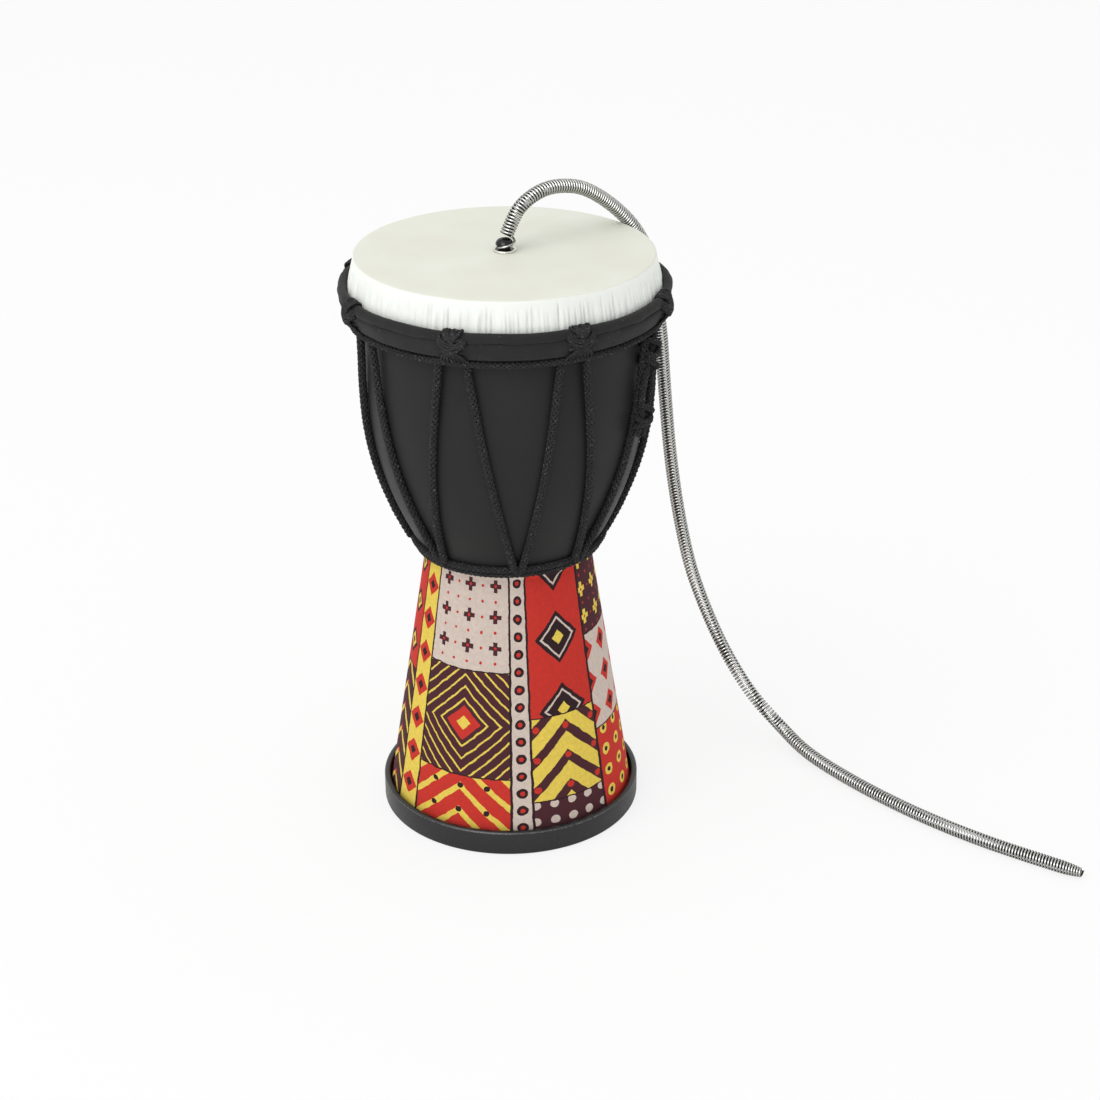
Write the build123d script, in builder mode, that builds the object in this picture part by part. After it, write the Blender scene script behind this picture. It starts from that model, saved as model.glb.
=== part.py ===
"""Thunder tube in the form of a small goblet drum, whose laced head carries a long steel spring.

Millimetres, +Z up. The origin is the centre of the foot's underside, and +Y points away from the viewer.
"""

from build123d import *

import os
from math import asin, atan, cos, degrees, pi, radians, sin, sqrt, tan

# Heights of the drum
head_height = 204.8  # playing face
belly_drop = 39.8  # from the playing face to where the bowl's side turns upright
waist_height = 98.0  # corner between bowl and pedestal
foot_height = 9.5  # top of the foot ring
foot_floor = 3.0  # thickness of the foot ring under the shell

# Shell
bowl_radius = 48.0
bowl_curve = 130.0  # radius of the bowl's side in section
base_radius = 43.1
bowl_strips = 4  # straight strips in the bowl's turned side
cup_wall = 6.0
cup_drop = 25.0  # of the cup's floor below the belly
bore_wall = 3.0  # at the waist, round the straight bore
bore_rise = 12.0  # of the bore's mouth above the waist

# Sleeve and foot ring
sleeve_thickness = 0.6
glue_gap = 0.05
foot_rim = 2.9  # how far the foot ring stands out past the shell
cloth_flats = 48  # flats round the cloth and cord rings
foot_flange = 8.0  # width of the flange under the shell

# Head, hoop, crown ring and cloth
film = 0.9
head_gap = 0.1
head_room = 2.0  # how far the head reaches past the shell
skirt_flare = 1.9
skirt_slope = 8.8  # drop to where the skirt turns upright
skirt_depth = 16.3
hoop_width = 2.5
hoop_height = 4.0
hoop_lift = 1.0  # of the hoop above the skirt's foot
roll_drop = 10.2  # of the crown ring's centre below the playing face
roll_thick = 3.5
roll_tall = 5.9
roll_corner = 60  # degrees between the corners of its section
band_drop = 17.8
band_thickness = 1.1
fit_gap = 0.3
touch_gap = 0.1

# Rope
rope = 3.0
thin_cord = 2.6
rope_sides = 6
hem_gap = 0.35
lace_count = 8
lace_phase = -87.1  # azimuth of the front V's foot, in degrees
leg_spread = 4.6  # half angle between the two legs of one hitch
lace_lift = 0.25  # room for a straight run on the round bowl
waist_turns = 2
waist_pitch = 3.05
waist_lift = 4.2  # of the winding's lower turn above the waist
waist_flats = 30  # straight runs in one turn
waist_start = 157.5  # degrees from the front V's foot to the winding's end, between two feet at the back
hitch_rope = 1.6  # flattened strands over the crown ring
hitch_width = 8.4
hitch_wrap = 2.4
hitch_wrap_drop = 4.2  # below the crown ring's centre
hitch_gap = 0.25
self_gap = 0.5  # between neighbouring runs of one rope
leg_drop = 0.9  # of a leg's end under the band

# Rope tail tied beside a leg
tail_leg = 1  # counted from the front V towards +X
tail_beside = 6.4  # degrees from the leg
tail_drop = 25.8  # of the tail's top below the playing face
tail_knot_drops = (34.0, 49.8)
tail_end_drop = 58.0
tail_knot = 5.8
tail_knot_length = 6.0

# Stud, eyelet, washer and nut
shank = 3.0
shank_gap = 0.1
stud_width = 6.0
stud_dome = 2.4
stud_neck = 3.8
neck_height = 1.1
eyelet_width = 8.2
eyelet_height = 0.8
washer_width = 11.0
washer_height = 0.8
nut_width = 5.5
nut_height = 2.4
shank_past_nut = 0.8

# Spring
wire = 0.5
spring_width = 4.8
curl_count = 10
spring_azimuth = 36.0
wire_sides = 3
eye_sides = 4
tube_sides = 6
eye_gap = 0.1
eye_plan = (
    (-420, 0.0, 0.0, 0),
    (-310, 0.0, 0.0, 0),
    (-200, 0.0, 0.0, 0),
    (-120, 1.4, 0.2, 10),
    (-50, 1.5, 1.95, 42),
)  # degrees from the spring, distance out and up from the turn round the neck, climb in degrees
corner_share = 0.45

# Spring route over the head: distance out in head radii, and rise above the head
arch = (
    (0.032, 5.8),
    (0.108, 13.6),
    (0.258, 18.8),
    (0.46, 20.3),
    (0.672, 17.4),
    (0.88, 10.0),
    (1.104, -0.2),
    (1.236, -8.2),
)
# Down behind the drum: x and y in head radii, and a share of the head's height
hang = (
    (1.046, 0.76, 0.896),
    (1.11, 0.806, 0.742),
    (1.22, 0.872, 0.508),
    (1.328, 0.924, 0.371),
    (1.488, 0.98, 0.234),
    (1.68, 0.992, 0.117),
    (1.9, 0.872, 0.0366),
)
# Along the floor: x and y in head radii
lie = (
    (2.072, 0.64),
    (2.272, 0.364),
    (2.54, -0.052),
    (2.92, -0.48),
    (3.36, -0.864),
    (3.908, -1.296),
)

# Places that follow from the sizes above
belly_height = head_height - belly_drop
bowl_step = (belly_height - waist_height) / bowl_strips
waist_low = waist_height + waist_lift
bowl_levels = [waist_height + bowl_step * k for k in range(1, bowl_strips)]
waist_radius = bowl_radius - bowl_curve + sqrt(bowl_curve**2 - (belly_height - waist_height) ** 2)
cone_slope = (waist_radius - base_radius) / (waist_height - foot_floor)
cup_radius = bowl_radius - cup_wall
cup_floor = belly_height - cup_drop
bore_radius = waist_radius - bore_wall
bore_height = waist_height + bore_rise
foot_radius = base_radius + foot_rim
rim_height = head_height - film - head_gap
face_radius = bowl_radius + head_room
skirt_break = head_height - skirt_slope
skirt_foot = head_height - skirt_depth
roll_height = head_height - roll_drop
band_foot = head_height - band_drop
hem_height = band_foot - hem_gap - thin_cord / 2
hitch_wrap_height = roll_height - hitch_wrap_drop
skirt_radius = face_radius + skirt_flare
roll_radius = skirt_radius + fit_gap + roll_thick / 2
band_radius = skirt_radius + touch_gap
curl_radius = (spring_width - wire) / 2
eyelet_top = head_height + touch_gap + eyelet_height
stud_under = eyelet_top + neck_height
pivot_height = stud_under + stud_dome / 4

os.makedirs("parts", exist_ok=True)


def shell_radius(height):
    """Outer radius of the shell on the pedestal's cone, the bowl's curve or the upright wall."""
    if height <= waist_height:
        return base_radius + cone_slope * (height - foot_floor)
    return standing_off(height, 0.0)


def standing_off(height, distance):
    """Radius of a ring that stands off the bowl by a distance, square to its side."""
    below = max(belly_height - height, 0.0)
    return bowl_radius - bowl_curve + sqrt((bowl_curve + distance) ** 2 - below**2)


def groove_radius(height):
    """Radius that clears the corners of the sleeve's flats."""
    return (shell_radius(height) + glue_gap + sleeve_thickness) / cos(pi / cloth_flats) + glue_gap


def radial_plane(azimuth):
    """Upright plane through the axis: its x runs outwards and its y runs up."""
    turn = radians(azimuth)
    return Plane((0, 0, 0), x_dir=(cos(turn), sin(turn), 0), z_dir=(sin(turn), -cos(turn), 0))


def outward(azimuth):
    return Vector(cos(radians(azimuth)), sin(radians(azimuth)), 0)


def around(radius, azimuth, height):
    return outward(azimuth) * radius + Vector(0, 0, height)


def roll_point(turn, grow):
    """Point on the crown ring's oval section, grown by an amount, at a turn from straight outwards."""
    across = roll_thick / 2 + grow
    upward = roll_tall / 2 + grow
    return (roll_radius + across * cos(radians(turn)), roll_height + upward * sin(radians(turn)))


def finish(piece, name):
    piece.part.label = name
    export_step(piece.part, f"parts/{name}.step")


# Shell: a turned goblet, hollowed from the top and bored through to its open foot
with BuildPart() as drum_shell:
    with BuildSketch(Plane.XZ):
        Polygon(
            (base_radius, foot_floor),
            (waist_radius, waist_height),
            *[(standing_off(height, 0), height) for height in bowl_levels],
            (bowl_radius, belly_height),
            (bowl_radius, rim_height),
            (cup_radius, rim_height),
            (cup_radius, cup_floor),
            (bore_radius, bore_height),
            (bore_radius, foot_floor),
            align=None,
        )
    revolve(axis=Axis.Z)
finish(drum_shell, "drum_shell")

# Printed cloth sleeve on the pedestal, laid on in flats
sleeve_foot = foot_floor + glue_gap
sleeve_top = waist_height - 2 * sleeve_thickness
with BuildPart() as print_sleeve:
    for layer, mode in ((sleeve_thickness, Mode.ADD), (0.0, Mode.SUBTRACT)):
        with BuildSketch(Plane.XY.offset(sleeve_foot)):
            RegularPolygon(shell_radius(sleeve_foot) + glue_gap + layer, cloth_flats, major_radius=False)
        extrude(amount=sleeve_top - sleeve_foot, taper=degrees(atan(-cone_slope)), mode=mode)
finish(print_sleeve, "print_sleeve")

# Foot ring: a moulded ring whose groove takes the shell and sleeve
with BuildPart() as foot_ring:
    with BuildSketch(Plane.XZ):
        Polygon(
            (base_radius - foot_flange, 0),
            (foot_radius, 0),
            (foot_radius, foot_height),
            (groove_radius(foot_height), foot_height),
            (groove_radius(foot_floor), foot_floor - glue_gap),
            (base_radius - foot_flange, foot_floor - glue_gap),
            align=None,
        )
    revolve(axis=Axis.Z)
finish(foot_ring, "foot_ring")

# Head: a flat film with a sloped skirt, pierced in the middle for the stud
head_hole = shank / 2 + shank_gap
with BuildPart() as drumhead:
    with BuildSketch(Plane.XZ):
        Polygon(
            (head_hole, head_height),
            (face_radius, head_height),
            (skirt_radius, skirt_break),
            (skirt_radius, skirt_foot),
            (skirt_radius - film, skirt_foot),
            (skirt_radius - film, skirt_break),
            (face_radius - film, head_height - film),
            (head_hole, head_height - film),
            align=None,
        )
    revolve(axis=Axis.Z)
finish(drumhead, "drumhead")

# Flesh hoop inside the skirt's hem
with BuildPart() as flesh_hoop:
    with BuildSketch(Plane.XZ):
        with Locations((skirt_radius - film - touch_gap, skirt_foot + hoop_lift)):
            Rectangle(hoop_width, hoop_height, align=(Align.MAX, Align.MIN))
    revolve(axis=Axis.Z)
finish(flesh_hoop, "flesh_hoop")

# Crown ring: a hoop rolled in cloth, six-sided in section
roll_rise = roll_point(roll_corner, 0)[1] - roll_height
roll_taper = degrees(atan(roll_thick / 4 / roll_rise))
with BuildPart() as crown_ring:
    with BuildSketch(Plane.XY.offset(roll_height)):
        RegularPolygon(roll_radius + roll_thick / 2, cloth_flats, major_radius=False)
    extrude(amount=roll_rise, both=True, taper=roll_taper)
    with BuildSketch(Plane.XY.offset(roll_height)):
        RegularPolygon(roll_radius - roll_thick / 2, cloth_flats, major_radius=False)
    extrude(amount=roll_rise, both=True, taper=-roll_taper, mode=Mode.SUBTRACT)
finish(crown_ring, "crown_ring")

# Cloth band under the crown ring, laid on in flats
with BuildPart() as cloth_band:
    with BuildSketch(Plane.XY.offset(band_foot)):
        RegularPolygon(band_radius + band_thickness, cloth_flats, major_radius=False)
        RegularPolygon(band_radius, cloth_flats, major_radius=False, mode=Mode.SUBTRACT)
    extrude(amount=roll_height - roll_tall / 2 - touch_gap - band_foot)
finish(cloth_band, "cloth_band")

# Hem cord round the bowl
with BuildPart() as hem_cord:
    with BuildSketch(Plane.XY.offset(hem_height)):
        RegularPolygon(bowl_radius + touch_gap + thin_cord, cloth_flats, major_radius=False)
        RegularPolygon(bowl_radius + touch_gap, cloth_flats, major_radius=False, mode=Mode.SUBTRACT)
    extrude(amount=thin_cord / 2, both=True)
finish(hem_cord, "hem_cord")

# Eight hitches on the crown ring: strands over the ring, gathered by a wrap
lace_step = 360 / lace_count
hitch_back = (band_radius + band_thickness) / cos(pi / cloth_flats) + touch_gap
hitch_over = touch_gap + hitch_gap + hitch_rope
for number in range(lace_count):
    hitch_azimuth = lace_phase + lace_step * (number + 0.5)
    with BuildPart() as hitch:
        with BuildSketch(radial_plane(hitch_azimuth)):
            Polygon(
                (roll_radius, roll_point(roll_corner, hitch_gap)[1]),
                *[roll_point(turn, hitch_gap) for turn in (roll_corner, 0, -roll_corner)],
                (hitch_back, roll_height - roll_tall / 2 - hitch_gap),
                (hitch_back, band_foot),
                (hitch_back + hitch_rope, band_foot),
                *[roll_point(turn, hitch_over) for turn in (-roll_corner, 0, roll_corner)],
                (roll_radius, roll_point(roll_corner, hitch_over)[1]),
                align=None,
            )
        extrude(amount=hitch_width / 2, both=True)
        wrap_plane = Plane(
            around(hitch_back + hitch_wrap, hitch_azimuth, hitch_wrap_height),
            z_dir=outward(hitch_azimuth + 90),
        )
        with BuildSketch(wrap_plane):
            RegularPolygon(hitch_wrap / 2, rope_sides)
        extrude(amount=hitch_width / 2 + touch_gap, both=True)
    finish(hitch, f"crown_hitch_{number + 1}")

# Eight V lengths of lacing: down from one hitch, round the waist rope and up to the next
lace_gap = rope / 2 + touch_gap
bowl_stand = lace_gap + lace_lift
waist_stand = thin_cord + fit_gap + lace_gap
leg_top = band_foot - leg_drop
leg_top_radius = hitch_back
waist_high = waist_low + waist_pitch * (waist_turns - 1)
waist_shoulder = waist_high + rope / 3
bight = (rope + self_gap) / 2


def leg_stations(start_azimuth, end_azimuth):
    """Rope centres down one leg. A tight rope turns faster where the bowl is narrower."""
    levels = [(leg_top_radius, leg_top)]
    bowl_corners = (belly_height, *reversed(bowl_levels))
    levels += [(standing_off(height, bowl_stand), height) for height in bowl_corners]
    levels += [(standing_off(height, waist_stand), height) for height in (waist_shoulder, waist_low)]
    shares = [0.0]
    for (radius, height), (next_radius, next_height) in zip(levels, levels[1:]):
        middle = (radius + next_radius) / 2
        shares.append(shares[-1] + (height - next_height) / middle**2)
    turn = end_azimuth - start_azimuth
    return [
        (radius, start_azimuth + turn * share / shares[-1], height)
        for (radius, height), share in zip(levels, shares)
    ]


foot_reach = standing_off(waist_low, waist_stand)
foot_half = degrees(asin(bight / foot_reach))
foot_lean = standing_off(waist_shoulder, waist_stand) - foot_reach
bend_step = 45
for number in range(lace_count):
    foot_azimuth = lace_phase + lace_step * number
    reach = lace_step / 2 - leg_spread
    left = [around(*spot) for spot in leg_stations(foot_azimuth - reach, foot_azimuth - foot_half)]
    right = [around(*spot) for spot in leg_stations(foot_azimuth + reach, foot_azimuth + foot_half)]
    downward = (outward(foot_azimuth) * -foot_lean - Vector(0, 0, waist_shoulder - waist_low)).normalized()
    sideways = outward(foot_azimuth + 90)
    foot_centre = (left[-1] + right[-1]) * 0.5
    bend = []
    for corner in range(180 // bend_step):
        swing = radians(bend_step * (corner + 0.5))
        spot = downward * sin(swing) - sideways * cos(swing)
        bend.append(foot_centre + spot * (bight / cos(radians(bend_step / 2))))
    lace_route = left[:-1] + bend + right[-2::-1]
    with BuildPart() as lacing:
        with BuildLine():
            Polyline(*lace_route)
        with BuildSketch(Plane(lace_route[0], x_dir=sideways, z_dir=lace_route[1] - lace_route[0])):
            RegularPolygon(rope / 2, rope_sides)
        sweep(transition=Transition.RIGHT)
    finish(lacing, f"lacing_{number + 1}")


def biarc(start, start_direction, end, end_direction):
    """Two tangent arcs from start to end with the given directions at both ends."""
    chord = end - start
    spread = 2 * (1 - start_direction.dot(end_direction))
    along = chord.dot(start_direction + end_direction)
    reach = (sqrt(along**2 + spread * chord.dot(chord)) - along) / spread
    knee = start + start_direction * reach
    last_knee = end - end_direction * reach
    middle = (knee + last_knee) * 0.5
    TangentArc(start, middle, tangent=start_direction)
    TangentArc(middle, end, tangent=last_knee - knee)


def least_gap(points, per_turn, thickness):
    """Least gap between turns of a winding, from points along its centre line."""
    nearest = min(
        (points[j] - points[i]).length
        for i in range(len(points))
        for j in range(i + per_turn // 2, min(i + 2 * per_turn, len(points)))
    )
    return nearest - thickness


# Waist rope: two turns wound round the neck of the bowl in short straight runs
def waist_point(turns):
    height = waist_low + waist_pitch * (turns - 0.5)
    radius = standing_off(height, thin_cord / 2 + touch_gap) / cos(pi / waist_flats)
    return around(radius, lace_phase + waist_start + 360 * turns, height)


waist_route = [waist_point(k / waist_flats) for k in range(waist_flats * waist_turns + 1)]
with BuildPart() as waist_rope:
    with BuildLine():
        Polyline(*waist_route)
    with BuildSketch(Plane(waist_route[0], x_dir=(0, 0, 1), z_dir=waist_route[1] - waist_route[0])):
        RegularPolygon(thin_cord / 2, rope_sides)
    sweep(transition=Transition.RIGHT)
finish(waist_rope, "waist_rope")
print("waist rope: least gap between turns", round(least_gap(waist_route, waist_flats, thin_cord), 2))

# Rope tail tied off beside a leg, with two knots
with BuildPart() as rope_tail:
    leg_foot = lace_phase + lace_step * tail_leg
    guide = leg_stations(leg_foot + lace_step / 2 - leg_spread, leg_foot)

    def beside_leg(height):
        for (_, azimuth, high), (_, next_azimuth, low) in zip(guide, guide[1:]):
            if low <= height <= high:
                share = (high - height) / (high - low)
                return azimuth + (next_azimuth - azimuth) * share + tail_beside
        return guide[-1][1] + tail_beside

    def tail_spot(height, width):
        return around(standing_off(height, width / 2 + touch_gap + lace_lift), beside_leg(height), height)

    tail_drops = (tail_drop, *tail_knot_drops, tail_end_drop)
    tail_route = [tail_spot(head_height - drop, tail_knot) for drop in tail_drops]
    across = outward(beside_leg(head_height - tail_drop) - 90)
    with BuildLine():
        Polyline(*tail_route)
    with BuildSketch(Plane(tail_route[0], x_dir=across, z_dir=tail_route[1] - tail_route[0])):
        RegularPolygon(rope / 2, rope_sides)
    sweep(transition=Transition.RIGHT)
    for above, knot, below in zip(tail_route, tail_route[1:], tail_route[2:]):
        with BuildSketch(Plane(knot, x_dir=across, z_dir=below - above)):
            RegularPolygon(tail_knot / 2, rope_sides)
        extrude(amount=tail_knot_length / 2, both=True)
finish(rope_tail, "rope_tail")

# Stud with its black dome, through eyelet, head, washer and nut
washer_top = head_height - film - touch_gap
nut_top = washer_top - washer_height - touch_gap
shank_end = nut_top - nut_height - shank_past_nut
with BuildPart() as anchor_stud:
    with BuildSketch(Plane.XZ):
        Polygon(
            (0, shank_end),
            (shank / 2, shank_end),
            (shank / 2, eyelet_top),
            (stud_neck / 2, eyelet_top),
            (stud_neck / 2, stud_under),
            (stud_width / 2, stud_under),
            (stud_width / 2, stud_under + stud_dome / 4),
            (stud_width / 4, stud_under + stud_dome),
            (0, stud_under + stud_dome),
            align=None,
        )
    revolve(axis=Axis.Z)
finish(anchor_stud, "anchor_stud")

with BuildPart() as head_eyelet:
    with BuildSketch(Plane.XZ):
        Polygon(
            (head_hole, head_height + touch_gap),
            (eyelet_width / 2, head_height + touch_gap),
            (eyelet_width / 2 - eyelet_height / 2, eyelet_top),
            (head_hole, eyelet_top),
            align=None,
        )
    revolve(axis=Axis.Z)
finish(head_eyelet, "head_eyelet")

with BuildPart() as inner_washer:
    with BuildSketch(Plane.XY.offset(washer_top)):
        Circle(washer_width / 2)
        Circle(head_hole, mode=Mode.SUBTRACT)
    extrude(amount=-washer_height)
finish(inner_washer, "inner_washer")

with BuildPart() as anchor_nut:
    with BuildSketch(Plane.XY.offset(nut_top)):
        RegularPolygon(nut_width / 2, 6, major_radius=False)
        Circle(shank / 2 + touch_gap / 2, mode=Mode.SUBTRACT)
    extrude(amount=-nut_height)
finish(anchor_nut, "anchor_nut")

# Route of the spring: over the head in one upright plane, down behind the rim, then along the floor
spring_out = outward(spring_azimuth)
spring_side = outward(spring_azimuth + 90)
floor_level = spring_width / 2 + touch_gap / 2
route = [spring_out * (share * face_radius) + Vector(0, 0, head_height + rise) for share, rise in arch]
route += [Vector(x * face_radius, y * face_radius, share * head_height) for x, y, share in hang]
route += [Vector(x * face_radius, y * face_radius, floor_level) for x, y in lie]


def corner_radii(points):
    """Largest radius that fits at each corner of a route."""
    radii = []
    for before, corner, after in zip(points, points[1:], points[2:]):
        arriving = corner - before
        leaving = after - corner
        half_turn = radians(arriving.get_angle(leaving)) / 2
        radii.append(corner_share * min(arriving.length, leaving.length) / tan(half_turn))
    return radii


# The curls give way to a plain tube on a straight stretch of the route
radii = corner_radii(route)
tube_start = (route[1] + route[2]) * 0.5
print("spring: bend radii", [round(radius, 1) for radius in radii])
with BuildLine() as coil_line:
    FilletPolyline(route[0], route[1], tube_start, radius=radii[:1])
coil_path = coil_line.wires()[0]
curl_pitch = (coil_path.length - 3 * wire) / curl_count
print("spring: curl pitch", round(curl_pitch, 3), "over", round(coil_path.length, 1))


def curl_point(turns):
    """Point of the wire after some turns, which start under the coil and go to its far side first."""
    share = max(turns * curl_pitch / coil_path.length, 0.0)
    forward = coil_path.tangent_at(share)
    under = spring_side.cross(forward)
    swing = 2 * pi * turns
    return coil_path.position_at(share) + (under * cos(swing) + spring_side * sin(swing)) * curl_radius


def direction_at(curve, where, step=1e-4):
    return (curve(where + step) - curve(where - step)).normalized()


def facet_radius(sides):
    """Corner radius of a many-sided wire with the round wire's area."""
    return wire / 2 * sqrt(2 * pi / (sides * sin(2 * pi / sides)))


# Spring: open curls from the stud, then a tube of the coil's width for the rest of its length
half_curls = [k / 2 for k in range(2 * curl_count + 1)]
curl_start = curl_point(0)
curl_start_direction = direction_at(curl_point, 0.001)
curl_end_direction = direction_at(curl_point, curl_count)
tube_direction = (route[2] - route[1]).normalized()
tube_entry = tube_start + (spring_side.cross(tube_direction) + spring_side).normalized() * curl_radius
with BuildPart() as thunder_spring:
    with BuildLine():
        for first, second in zip(half_curls, half_curls[1:]):
            biarc(
                curl_point(first),
                direction_at(curl_point, max(first, 0.001)),
                curl_point(second),
                direction_at(curl_point, second),
            )
        wire_end = tube_entry - tube_direction * wire
        biarc(curl_point(curl_count), curl_end_direction, wire_end, tube_direction)
        Line(wire_end, tube_entry)
    with BuildSketch(Plane(curl_start, z_dir=curl_start_direction)):
        RegularPolygon(facet_radius(wire_sides), wire_sides)
    sweep(clean=False)
    with BuildLine() as tube_line:
        FilletPolyline(tube_start, *route[2:], radius=radii[1:])
    with BuildSketch(Plane(tube_start, x_dir=spring_side, z_dir=tube_direction)) as tube_section:
        RegularPolygon(spring_width / 2, tube_sides)
    sweep(clean=False)
finish(thunder_spring, "thunder_spring")
curl_samples = [curl_point(k / 24) for k in range(24 * curl_count + 1)]
print("spring: least gap between curls", round(least_gap(curl_samples, 24, wire), 3))
tube_length = tube_line.wires()[0].length
tube_volume = tube_section.sketch.area * tube_length
print("spring: tube length", round(tube_length, 1), "and section times length", round(tube_volume))
print("spring: volume", round(thunder_spring.part.volume))

# Wire eye: a turn under the stud's dome that climbs to the first curl
neck_turn = (stud_neck + wire) / 2 + eye_gap
eye_level = (eyelet_top + stud_under) / 2
eye_knots = []
for azimuth, out, up, climb in eye_plan:
    spot = around(neck_turn + out, spring_azimuth + azimuth, eye_level + up)
    level = outward(spring_azimuth + azimuth + 90) * cos(radians(climb))
    eye_knots.append((spot, level + Vector(0, 0, sin(radians(climb)))))
eye_knots.append((curl_start - curl_start_direction * eye_gap, curl_start_direction))
with BuildPart() as spring_eye:
    with BuildLine():
        for (spot, heading), (next_spot, next_heading) in zip(eye_knots, eye_knots[1:]):
            biarc(spot, heading, next_spot, next_heading)
    with BuildSketch(Plane(eye_knots[0][0], x_dir=(0, 0, 1), z_dir=eye_knots[0][1])):
        RegularPolygon(facet_radius(eye_sides), eye_sides, rotation=180 / eye_sides)
    sweep()
finish(spring_eye, "spring_eye")
print("spring eye: level", round(eye_level, 2), "and pivot of the lift", round(pivot_height, 2))
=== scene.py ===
# %% [markdown]
# # A thunder tube in the form of a small goblet drum
# The object is a laced drum about twenty centimetres tall. A long open spring hangs from a stud in the
# middle of its head, and shaking the drum makes the spring rumble against the skin.
# The solids of every piece are loaded first and stay where they are. Each piece that shows is then modelled
# again round its solid, with the turns, braid, pleats and print that the plain solid leaves out.

# %% Load the solids
import math
import random

import bpy
import numpy as np
from mathutils import Matrix, Vector
from mathutils.kdtree import KDTree


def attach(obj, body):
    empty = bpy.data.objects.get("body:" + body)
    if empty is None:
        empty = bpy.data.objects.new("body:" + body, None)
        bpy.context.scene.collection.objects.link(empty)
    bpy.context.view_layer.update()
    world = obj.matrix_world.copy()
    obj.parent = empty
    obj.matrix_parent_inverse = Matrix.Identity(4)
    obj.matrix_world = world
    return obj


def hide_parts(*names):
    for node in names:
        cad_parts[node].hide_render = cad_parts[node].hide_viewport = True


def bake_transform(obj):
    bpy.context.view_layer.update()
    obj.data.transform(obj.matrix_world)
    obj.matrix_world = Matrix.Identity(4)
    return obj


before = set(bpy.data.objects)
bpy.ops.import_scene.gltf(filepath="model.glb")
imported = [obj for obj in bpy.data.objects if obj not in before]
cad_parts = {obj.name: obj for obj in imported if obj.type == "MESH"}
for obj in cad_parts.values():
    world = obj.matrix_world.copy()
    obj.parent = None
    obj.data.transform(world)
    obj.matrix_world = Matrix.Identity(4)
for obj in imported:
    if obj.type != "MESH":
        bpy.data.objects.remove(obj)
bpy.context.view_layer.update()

MM = 0.001


def linked(name, data):
    """A new object in the scene."""
    piece = bpy.data.objects.new(name, data)
    bpy.context.scene.collection.objects.link(piece)
    return piece


# %% [markdown]
# ## The camera
# The photograph looks down at the drum from the front with a long lens. A long lens far away keeps the two
# sides of the foot nearly parallel, so the camera's place was worked out from the ellipses of head and foot.

# %% Camera
CAMERA_PLACE = (0.001786, -0.723925, 0.440941)
LOOK_DOWN = math.radians(25.4907)
LOOK_ASIDE = math.radians(1.0105)
CAMERA_ROLL = math.radians(-0.1985)
forward = Vector((math.sin(LOOK_ASIDE) * math.cos(LOOK_DOWN), math.cos(LOOK_ASIDE) * math.cos(LOOK_DOWN),
                  -math.sin(LOOK_DOWN)))
level = Vector((math.cos(LOOK_ASIDE), -math.sin(LOOK_ASIDE), 0))
upward = level.cross(forward)
camera_right = level * math.cos(CAMERA_ROLL) + upward * math.sin(CAMERA_ROLL)
camera_up = upward * math.cos(CAMERA_ROLL) - level * math.sin(CAMERA_ROLL)
camera_data = bpy.data.cameras.new("camera")
camera_data.sensor_width = 36.0
camera_data.lens = 75.273
camera = linked("camera", camera_data)
camera.matrix_world = Matrix((camera_right, camera_up, -forward)).transposed().to_4x4()
camera.location = CAMERA_PLACE
bpy.context.scene.camera = camera
print("camera looks down", round(math.degrees(LOOK_DOWN), 1), "degrees")

# %% [markdown]
# ## Lines for springs and ropes
# A spring, a braid and a knot all follow a smooth line. A NURBS spline of order three bends gently past its
# control points, so a few points give a natural line. Its points are read back from an unbevelled curve and
# set at even steps, and a small frame of two cross directions is carried along, so that strands can wind
# round the line without sudden twists.

# %% Smooth lines
def spline_points(stations, ring=False, fineness=16):
    """Points along a NURBS spline through the neighbourhood of the stations, in metres."""
    curve = bpy.data.curves.new("guide", "CURVE")
    curve.dimensions = "3D"
    spline = curve.splines.new("NURBS")
    spline.points.add(len(stations) - 1)
    for point, station in zip(spline.points, stations):
        point.co = (*station, 1)
    spline.order_u = 3
    spline.use_endpoint_u = not ring
    spline.use_cyclic_u = ring
    spline.resolution_u = fineness
    guide = linked("guide", curve)
    bpy.context.view_layer.update()
    mesh = bpy.data.meshes.new_from_object(guide.evaluated_get(bpy.context.evaluated_depsgraph_get()))
    points = np.array([vertex.co for vertex in mesh.vertices])
    bpy.data.objects.remove(guide)
    bpy.data.curves.remove(curve)
    bpy.data.meshes.remove(mesh)
    return np.vstack([points, points[:1]]) if ring else points


def line_length(points):
    return float(np.linalg.norm(np.diff(points, axis=0), axis=1).sum())


def even_steps(points, step):
    """The same line at even steps, with the distance along it."""
    along = np.concatenate([[0], np.cumsum(np.linalg.norm(np.diff(points, axis=0), axis=1))])
    count = max(int(round(along[-1] / step)), 2)
    distance = np.linspace(0, along[-1], count + 1)
    spots = np.stack([np.interp(distance, along, points[:, axis]) for axis in range(3)], axis=1)
    return spots, distance


def cross_frames(spots, first_side, ring=False):
    """Two cross directions at each spot, carried along the line without twist."""
    heading = np.gradient(spots, axis=0)
    if ring:
        heading[0] = heading[-1] = spots[1] - spots[-2]
    heading /= np.linalg.norm(heading, axis=1)[:, None]
    sides = np.zeros_like(spots)
    side = np.array(first_side, float)
    for index, direction in enumerate(heading):
        side = side - direction * (side @ direction)
        side = side / np.linalg.norm(side)
        sides[index] = side
    return sides, np.cross(heading, sides)


# %% [markdown]
# ## The spring's way
# The spring comes off the stud, arches over the head in one upright plane, hangs down behind the rim and
# trails over the floor. Its way is a list of points: distance out and height for the arch, free points
# where it hangs, and points at floor level for the rest.

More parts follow.
